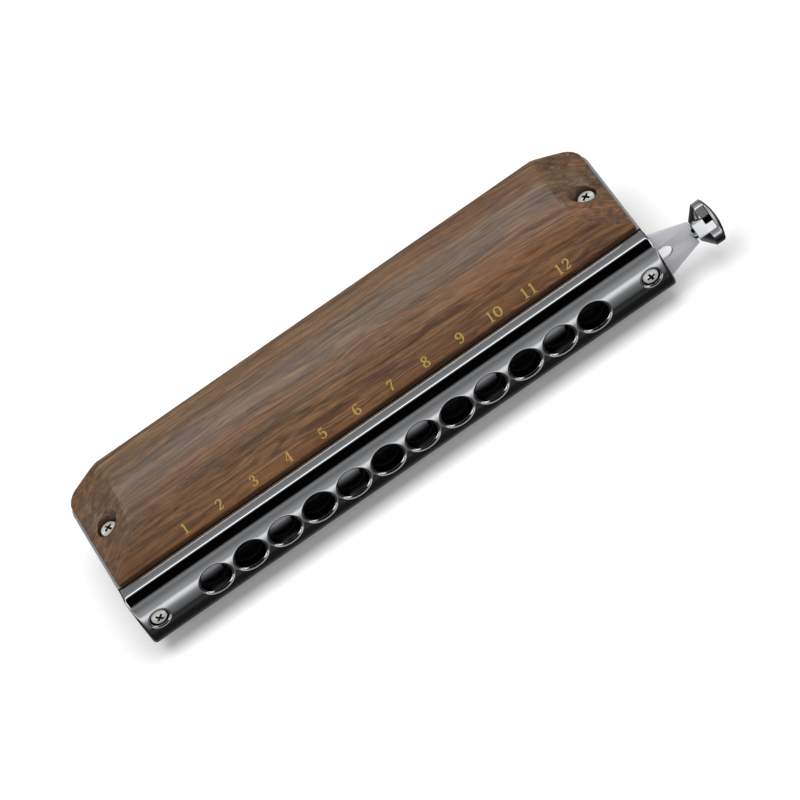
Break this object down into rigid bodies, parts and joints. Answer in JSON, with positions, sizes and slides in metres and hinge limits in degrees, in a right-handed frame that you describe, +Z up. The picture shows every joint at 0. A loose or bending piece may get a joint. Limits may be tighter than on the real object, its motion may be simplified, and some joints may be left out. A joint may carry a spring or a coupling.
{
  "type": "chromatic harmonica",
  "caption": "Chromatic harmonica: plated mouthpiece with lipped holes, sprung slide with a push button, moulded comb, reed plates and hollowed walnut covers held by screws.",
  "frame": {"origin": "middle of the row of holes, on the flat of the lower cover that the instrument rests on", "axes": "+X along the row of holes towards the button, -Y towards the player, +Z up"},
  "size_m": [0.1608, 0.0424, 0.028],
  "materials": {
    "black_plastic": "satin",
    "plated_brass": "satin",
    "valve_film": "matte",
    "steel": "polished",
    "satin_steel": "satin",
    "spring_steel": "satin",
    "rubber": "matte",
    "chrome": "polished",
    "bare_brass": "satin",
    "walnut": "satin"
  },
  "bodies": {
    "body": {"comb": "black_plastic", "comb_gasket": "rubber", "cover_screw_bush_left": "bare_brass", "cover_screw_bush_right": "bare_brass", "lower_cover": "walnut", "lower_cover_screw_left": "steel", "lower_cover_screw_right": "steel", "lower_plate_screw_1": "steel", "lower_plate_screw_2": "steel", "lower_plate_screw_3": "steel", "lower_plate_screw_4": "steel", "lower_plate_screw_5": "steel", "lower_plate_screw_6": "steel", "lower_reed_plate": "plated_brass", "lower_valve_01": "valve_film", "lower_valve_02": "valve_film", "lower_valve_03": "valve_film", "lower_valve_04": "valve_film", "lower_valve_05": "valve_film", "lower_valve_06": "valve_film", "lower_valve_07": "valve_film", "lower_valve_08": "valve_film", "lower_valve_09": "valve_film", "lower_valve_10": "valve_film", "lower_valve_11": "valve_film", "lower_valve_12": "valve_film", "mouthpiece": "chrome", "mouthpiece_screw_left": "steel", "mouthpiece_screw_right": "steel", "slide_back_plate": "satin_steel", "slide_bumper_left": "rubber", "slide_bumper_right": "rubber", "slide_front_plate": "satin_steel", "slide_spring": "spring_steel", "upper_cover": "walnut", "upper_cover_screw_left": "steel", "upper_cover_screw_right": "steel", "upper_plate_screw_1": "steel", "upper_plate_screw_2": "steel", "upper_plate_screw_3": "steel", "upper_plate_screw_4": "steel", "upper_plate_screw_5": "steel", "upper_plate_screw_6": "steel", "upper_reed_plate": "plated_brass", "upper_valve_01": "valve_film", "upper_valve_02": "valve_film", "upper_valve_03": "valve_film", "upper_valve_04": "valve_film", "upper_valve_05": "valve_film", "upper_valve_06": "valve_film", "upper_valve_07": "valve_film", "upper_valve_08": "valve_film", "upper_valve_09": "valve_film", "upper_valve_10": "valve_film", "upper_valve_11": "valve_film", "upper_valve_12": "valve_film"},
    "slide_body": {"slide": "satin_steel", "slide_button": "chrome"}
  },
  "joints": [
    {"name": "slide_press", "type": "slide", "parent": "body", "child": "slide_body", "axis": [1, 0, 0], "range_m": [-0.00475, 0], "stiffness_N_per_m": 250, "springref_m": 0.006, "deforming": ["slide_spring"]}
  ]
}
